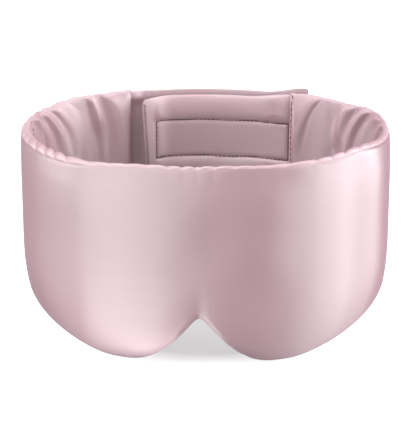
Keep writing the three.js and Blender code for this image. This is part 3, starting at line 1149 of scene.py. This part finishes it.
def build_tab(tab, draw):
    side = tab.side
    shown, hidden = ("outer", "inner") if tab.lay > 0 else ("inner", "outer")
    # The lining satin is the face satin painted lighter, so the inner tab's showing face gets painted
    # light.
    face, back = ((SATIN, "satin"), (LINING_PAINTED_LIGHTER, "lining_satin"))[:: tab.lay]
    showing = dress(tab_cloth(tab, "showing", False), *face, f"{side}_tab_{shown}_satin")
    closing = dress(tab_cloth(tab, "closing", True), *back, f"{side}_tab_{hidden}_satin")
    fill = dress(tab_fill(tab), PADDING, "padding", f"{side}_tab_padding")

    strip = dress(tape_strip(tab), HOOK_TAPE if tab.lay > 0 else LOOP_TAPE, tab.tape, tab.tape)
    if tab.lay > 0:
        pile = tape_pile(tab, "hooks", 1.7 * MM, HOOK, 0.07 * MM, 0.3, draw)
    else:
        pile = tape_pile(tab, "loops", 1.5 * MM, LOOP, 0.05 * MM, math.pi, draw)
    dress(pile, strip.data.materials[0], tab.tape)
    low, high = tab.tape_ends

    place, z, ways = box_line(tab)
    line = on_tab(tab, place, z, ways, 0.0)
    box = threads(f"{tab.tape}_box_thread", *line, BOX_STITCH, BOX_THREAD_RADIUS)
    dress(box, THREAD_AND_GROOVE_SHADE, "thread", f"{tab.tape}_stitching")
    line = overlock_threads(tab)
    edge = threads(f"{side}_tab_overlock_thread", *line, OVERLOCK_STITCH, OVERLOCK_THREAD_RADIUS)
    dress(edge, EDGE_THREAD_AND_SEAM_SHADE, "thread", f"{side}_tab_edge_overlock")
    for obj in (showing, closing, fill, strip, pile, box, edge):
        peel_back(obj, tab)


def build_object():
    draw = np.random.default_rng(SEED + 1)
    s, height, base = base_skin()
    points = refined(gathered(s, height, base))
    s = refined(s)
    points = puckered(s, points)
    normal = grid_normals(points)
    def column(place):
        return int(np.argmin(np.abs(s - place)))
    build_front(points, normal, column)
    for side in ("left", "right"):
        build_elastic(side)
        build_band(side, points, normal, column)
        build_band_stitching(side, points, normal, column)
    for tab in (OUTER_TAB, INNER_TAB):
        build_tab(tab, draw)


OUTER_TAB = Tab(
    "left", 1, -47 * MM, 55 * MM, "hook_tape", (-31.5 * MM, 49.5 * MM),
    rise=lambda b: 3.5 * MM * ramp(b, 30 * MM, 55 * MM), slant=2 * MM, curl=2.5 * MM, corner=1.2 * MM,
)
INNER_TAB = Tab(
    "right", -1, 48.2 * MM, -43.5 * MM, "loop_tape", (-34 * MM, 47.2 * MM),
    rise=lambda b: 3 * MM * ramp(b, 22 * MM, 48 * MM), slant=2.8 * MM, curl=6 * MM, corner=3.5 * MM,
)

build_object()


# ---- floor, lights and camera ----

VIEW_AZIMUTH = math.radians(2.8)
VIEW_ELEVATION = math.radians(19.73)
VIEW_DISTANCE = 1.06
VIEW_HEIGHT = 62.2 * MM
AIM_ASIDE = 2.22 * MM
AIM_BELOW = 8.09 * MM
LENS = 155.05


def aim(obj, place, target):
    obj.location = place
    obj.rotation_mode = "QUATERNION"
    obj.rotation_quaternion = (Vector(target) - Vector(place)).to_track_quat("-Z", "Y")


def add_camera():
    """A long lens, above the front and a little to its right."""
    data = bpy.data.cameras.new("camera")
    camera = bpy.data.objects.new("camera", data)
    bpy.context.scene.collection.objects.link(camera)
    data.lens = LENS
    back = Vector((
        math.sin(VIEW_AZIMUTH) * math.cos(VIEW_ELEVATION),
        -math.cos(VIEW_AZIMUTH) * math.cos(VIEW_ELEVATION),
        math.sin(VIEW_ELEVATION),
    ))
    right = Vector((math.cos(VIEW_AZIMUTH), math.sin(VIEW_AZIMUTH), 0))
    up = back.cross(right)
    centre = Vector((0, 0, VIEW_HEIGHT))
    aim(camera, centre + back * VIEW_DISTANCE, centre + right * AIM_ASIDE - up * AIM_BELOW)
    data.clip_start, data.clip_end = 0.05, 20
    bpy.context.scene.camera = camera


def area_light(name, place, size, target, power):
    data = bpy.data.lights.new(name, "AREA")
    data.shape = "RECTANGLE"
    data.size, data.size_y = size
    data.energy = power
    light = bpy.data.objects.new(name, data)
    aim(light, place, target)
    light.visible_camera = False
    bpy.context.scene.collection.objects.link(light)


# The floor's glow, which only the camera sees: dim up to the first distance from the mask's middle, and
# full from the second. The dim disc is a painted shadow under the mask.
GLOW_FROM, GLOW_TO = 0.058, 0.084
GLOW_IN_PAINTED_SHADOW, GLOW_AWAY = 0.4, 1.0


def floor_with_painted_shadow():
    """The floor: plain and pale. To the camera it glows, bright away from the mask and dim near its middle,
    which paints a shadow under the mask.
    """
    surface = Surface("floor", Base_Color=(0.3, 0.3, 0.3, 1), Roughness=0.9)
    away = surface.node("ShaderNodeVectorMath", Vector=surface.place)
    away.operation = "LENGTH"
    # Dim near the mask's middle: a painted shadow on the floor.
    glow = surface.node(
        "ShaderNodeMapRange",
        Value=away.outputs["Value"],
        From_Min=GLOW_FROM,
        From_Max=GLOW_TO,
        To_Min=GLOW_IN_PAINTED_SHADOW,
        To_Max=GLOW_AWAY,
    )
    seen = surface.node("ShaderNodeLightPath").outputs["Is Camera Ray"]
    shine = surface.node("ShaderNodeMath")
    shine.operation = "MULTIPLY"
    surface.tree.links.new(glow.outputs["Result"], shine.inputs[0])
    surface.tree.links.new(seen, shine.inputs[1])
    surface.shader.inputs["Emission Color"].default_value = (1, 1, 1, 1)
    surface.tree.links.new(shine.outputs[0], surface.shader.inputs["Emission Strength"])
    return surface.material


def round_about(azimuth, distance, height):
    """A place round the mask: azimuth 0 is straight in front, and + is towards +X."""
    turn = math.radians(azimuth)
    return (distance * math.sin(turn), -distance * math.cos(turn), height)


# Tall softboxes that stand round the mask, by azimuth and power. The weak ones leave its dark bands.
SOFTBOX_DISTANCE = 1.2
SOFTBOX_HEIGHT = 0.25
SOFTBOX_SIZE = (0.38, 0.48)
SOFTBOXES = [
    (-120, 0.5), (-95, 1.1), (-75, 0.95), (-60, 0.6), (-35, 1.0), (-6, 0.8),
    (50, 4.6), (72, 3.8), (88, 2.4), (107, 4.4),
]

# Square softboxes above the mask: place and power. The two at the sides light its inner faces.
OVERHEAD_SIZE = (0.9, 0.9)
OVERHEADS = [(-1.0, -0.2, 0.85, 7), (-0.3, -0.5, 1.3, 8), (0, 0.1, 1.3, 4), (1.0, 0.1, 0.85, 5.9)]

# Low lights for what the white table throws back at the two lobes: place, size, target and power.
TABLE_LIGHTS = [
    ("left_bounce", (-0.17, -0.25, 0.012), (0.2, 0.08), (-0.06, -0.07, 0.02), 0.29),
    ("right_bounce", (0.27, -0.13, 0.012), (0.08, 0.05), (0.08, -0.06, 0.012), 0.05),
    ("left_glow", (-0.045, -0.086, 0.0006), (0.09, 0.02), (-0.045, -0.086, 0.2), 0.013),
]

LIT_POINT = (0, 0, 0.05)
WORLD_LIGHT = 0.45
FLOOR_GAP = 1 * MM
FLOOR_HALF = 8.0


def add_studio():
    low, half = cad_low.z - FLOOR_GAP, FLOOR_HALF
    corners = [(-half, -half, low), (half, -half, low), (half, half, low), (-half, half, low)]
    floor = mesh_object("floor", corners, [(0, 1, 2, 3)])
    floor.data.materials.append(floor_with_painted_shadow())

    world = bpy.data.worlds.new("studio")
    world.use_nodes = True
    world.node_tree.nodes["Background"].inputs["Color"].default_value = (1, 1, 1, 1)
    world.node_tree.nodes["Background"].inputs["Strength"].default_value = WORLD_LIGHT
    bpy.context.scene.world = world

    for azimuth, power in SOFTBOXES:
        place = round_about(azimuth, SOFTBOX_DISTANCE, SOFTBOX_HEIGHT)
        area_light(f"softbox_{azimuth}", place, SOFTBOX_SIZE, LIT_POINT, power)
    for x, y, z, power in OVERHEADS:
        area_light(f"overhead_{x}", (x, y, z), OVERHEAD_SIZE, LIT_POINT, power)
    for name, place, size, target, power in TABLE_LIGHTS:
        area_light(name, place, size, target, power)
    bpy.context.scene.view_settings.view_transform = "Standard"


add_camera()
add_studio()
